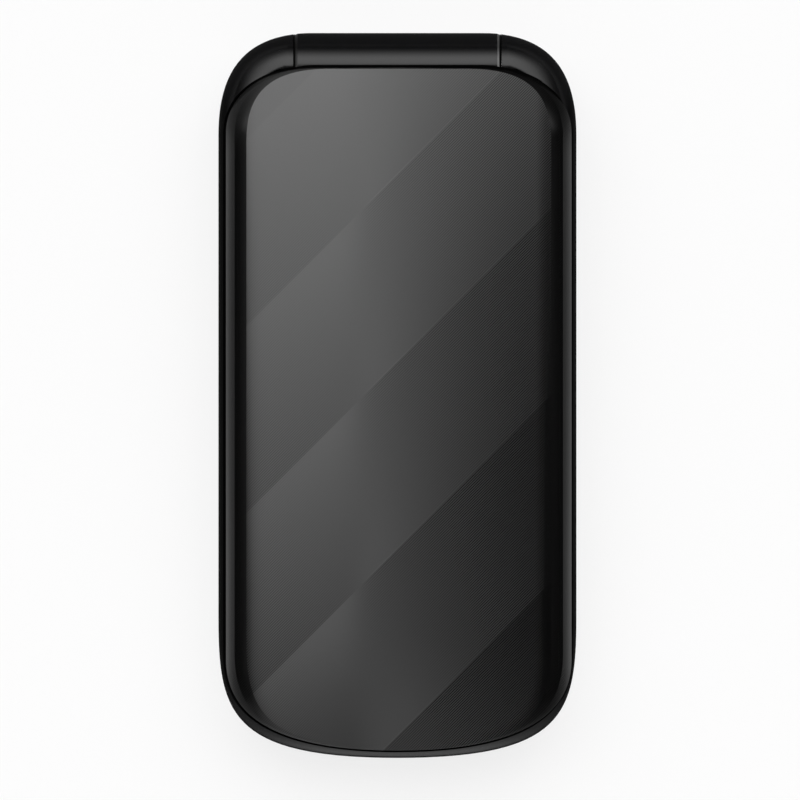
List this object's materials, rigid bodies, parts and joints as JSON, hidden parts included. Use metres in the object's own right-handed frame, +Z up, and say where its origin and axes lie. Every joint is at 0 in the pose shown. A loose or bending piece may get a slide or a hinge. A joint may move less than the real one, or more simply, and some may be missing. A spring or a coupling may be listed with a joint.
{
  "type": "clamshell mobile phone",
  "caption": "Closed clamshell mobile phone: keypad half and display half on a centre-barrel hinge, with a glossy patterned lid and a sliding battery cover.",
  "frame": {"origin": "centre of the underside, on the surface that the closed phone lies on", "axes": "+X to the right across the phone, +Y along it towards the hinge, +Z up out of the lid's outer face"},
  "size_m": [0.052, 0.1054, 0.0184],
  "materials": {
    "patterned_gloss": "glossy dark grey with fine diagonal lines and broad diagonal bands",
    "black_gloss": "glossy black",
    "black_satin": "fine satin black",
    "black_matte": "fine matte black",
    "window_black": "clear window printed black round the display",
    "lcd_glass": "dark display glass",
    "dark_metal": "plain metal",
    "mesh_black": "woven acoustic cloth",
    "steel": "plain steel",
    "soft_black": "soft black rubber",
    "silicone": "translucent grey silicone",
    "ribbon_amber": "amber polyimide film",
    "battery_grey": "plain grey label",
    "connector_black": "moulded black",
    "board_green": "green solder mask",
    "foil_white": "switch foil with metal domes",
    "carrier_grey": "moulded grey carrier",
    "nav_metal": "dark satin metal",
    "key_black": "gloss black with a printed symbol"
  },
  "bodies": {
    "base": {"rear_housing": "black_matte", "front_housing": "black_gloss", "battery": "battery_grey", "battery_connector": "connector_black", "main_board": "board_green", "board_components": "connector_black", "shield_cans": "steel", "dome_sheet": "foil_white", "keypad_mat": "silicone", "loudspeaker": "dark_metal", "speaker_mesh": "mesh_black", "camera_module": "connector_black", "camera_window": "window_black", "vibration_motor": "steel", "microphone": "dark_metal", "usb_connector": "steel", "headset_jack": "connector_black", "sim_holder": "steel", "memory_card_holder": "steel", "antenna": "carrier_grey", "base_screws": "steel", "screw_plugs": "soft_black", "hinge_cam_unit": "steel", "display_flex_base": "ribbon_amber"},
    "lid": {"lid_cover": "patterned_gloss", "lid_frame": "black_gloss", "lid_inner_housing": "black_satin", "display_window": "window_black", "lcd_module": "lcd_glass", "earpiece": "dark_metal", "earpiece_mesh": "mesh_black", "lid_magnet": "steel", "lid_bumpers": "soft_black", "lid_screws": "steel", "display_flex_lid": "ribbon_amber", "hinge_cam_shaft": "steel", "hinge_bush": "steel"},
    "battery_cover": {"battery_cover": "black_matte"},
    "nav_gimbal": {"nav_gimbal": "steel"},
    "nav_ring": {"nav_ring": "nav_metal"},
    "volume_rocker": {"volume_rocker": "key_black"},
    "key_0": {"key_0": "key_black"},
    "key_1": {"key_1": "key_black"},
    "key_2": {"key_2": "key_black"},
    "key_3": {"key_3": "key_black"},
    "key_4": {"key_4": "key_black"},
    "key_5": {"key_5": "key_black"},
    "key_6": {"key_6": "key_black"},
    "key_7": {"key_7": "key_black"},
    "key_8": {"key_8": "key_black"},
    "key_9": {"key_9": "key_black"},
    "key_star": {"key_star": "key_black"},
    "key_hash": {"key_hash": "key_black"},
    "key_soft_left": {"key_soft_left": "key_black"},
    "key_soft_right": {"key_soft_right": "key_black"},
    "key_call": {"key_call": "key_black"},
    "key_end": {"key_end": "key_black"},
    "key_clear": {"key_clear": "key_black"},
    "key_ok": {"key_ok": "key_black"}
  },
  "joints": [
    {"name": "lid_hinge", "type": "hinge", "parent": "base", "child": "lid", "pos_m": [0, 0.04765, 0.0126], "axis": [-1, 0, 0], "range_deg": [0, 155]},
    {"name": "battery_cover_slide", "type": "slide", "parent": "base", "child": "battery_cover", "axis": [0, -1, 0], "range_m": [0, 0.068]},
    {"name": "nav_tilt_up_down", "type": "hinge", "parent": "base", "child": "nav_gimbal", "pos_m": [0, 0.0255, 0.0078], "axis": [1, 0, 0], "range_deg": [-1.2, 1.2], "stiffness_Nm_per_rad": 0.3},
    {"name": "nav_tilt_left_right", "type": "hinge", "parent": "nav_gimbal", "child": "nav_ring", "pos_m": [0, 0.0255, 0.0078], "axis": [0, 1, 0], "range_deg": [-1.2, 1.2], "stiffness_Nm_per_rad": 0.3},
    {"name": "volume_rock", "type": "hinge", "parent": "base", "child": "volume_rocker", "pos_m": [0.0242, 0.0145, 0.0055], "axis": [0, 0, 1], "range_deg": [-2, 2], "stiffness_Nm_per_rad": 0.1},
    {"name": "press_0", "type": "slide", "parent": "base", "child": "key_0", "axis": [0, 0, -1], "range_m": [0, 0.0003], "stiffness_N_per_m": 1500},
    {"name": "press_1", "type": "slide", "parent": "base", "child": "key_1", "axis": [0, 0, -1], "range_m": [0, 0.0003], "stiffness_N_per_m": 1500},
    {"name": "press_2", "type": "slide", "parent": "base", "child": "key_2", "axis": [0, 0, -1], "range_m": [0, 0.0003], "stiffness_N_per_m": 1500},
    {"name": "press_3", "type": "slide", "parent": "base", "child": "key_3", "axis": [0, 0, -1], "range_m": [0, 0.0003], "stiffness_N_per_m": 1500},
    {"name": "press_4", "type": "slide", "parent": "base", "child": "key_4", "axis": [0, 0, -1], "range_m": [0, 0.0003], "stiffness_N_per_m": 1500},
    {"name": "press_5", "type": "slide", "parent": "base", "child": "key_5", "axis": [0, 0, -1], "range_m": [0, 0.0003], "stiffness_N_per_m": 1500},
    {"name": "press_6", "type": "slide", "parent": "base", "child": "key_6", "axis": [0, 0, -1], "range_m": [0, 0.0003], "stiffness_N_per_m": 1500},
    {"name": "press_7", "type": "slide", "parent": "base", "child": "key_7", "axis": [0, 0, -1], "range_m": [0, 0.0003], "stiffness_N_per_m": 1500},
    {"name": "press_8", "type": "slide", "parent": "base", "child": "key_8", "axis": [0, 0, -1], "range_m": [0, 0.0003], "stiffness_N_per_m": 1500},
    {"name": "press_9", "type": "slide", "parent": "base", "child": "key_9", "axis": [0, 0, -1], "range_m": [0, 0.0003], "stiffness_N_per_m": 1500},
    {"name": "press_star", "type": "slide", "parent": "base", "child": "key_star", "axis": [0, 0, -1], "range_m": [0, 0.0003], "stiffness_N_per_m": 1500},
    {"name": "press_hash", "type": "slide", "parent": "base", "child": "key_hash", "axis": [0, 0, -1], "range_m": [0, 0.0003], "stiffness_N_per_m": 1500},
    {"name": "press_soft_left", "type": "slide", "parent": "base", "child": "key_soft_left", "axis": [0, 0, -1], "range_m": [0, 0.0003], "stiffness_N_per_m": 1500},
    {"name": "press_soft_right", "type": "slide", "parent": "base", "child": "key_soft_right", "axis": [0, 0, -1], "range_m": [0, 0.0003], "stiffness_N_per_m": 1500},
    {"name": "press_call", "type": "slide", "parent": "base", "child": "key_call", "axis": [0, 0, -1], "range_m": [0, 0.0003], "stiffness_N_per_m": 1500},
    {"name": "press_end", "type": "slide", "parent": "base", "child": "key_end", "axis": [0, 0, -1], "range_m": [0, 0.0003], "stiffness_N_per_m": 1500},
    {"name": "press_clear", "type": "slide", "parent": "base", "child": "key_clear", "axis": [0, 0, -1], "range_m": [0, 0.0003], "stiffness_N_per_m": 1500},
    {"name": "press_ok", "type": "slide", "parent": "base", "child": "key_ok", "axis": [0, 0, -1], "range_m": [0, 0.0003], "stiffness_N_per_m": 1500}
  ]
}
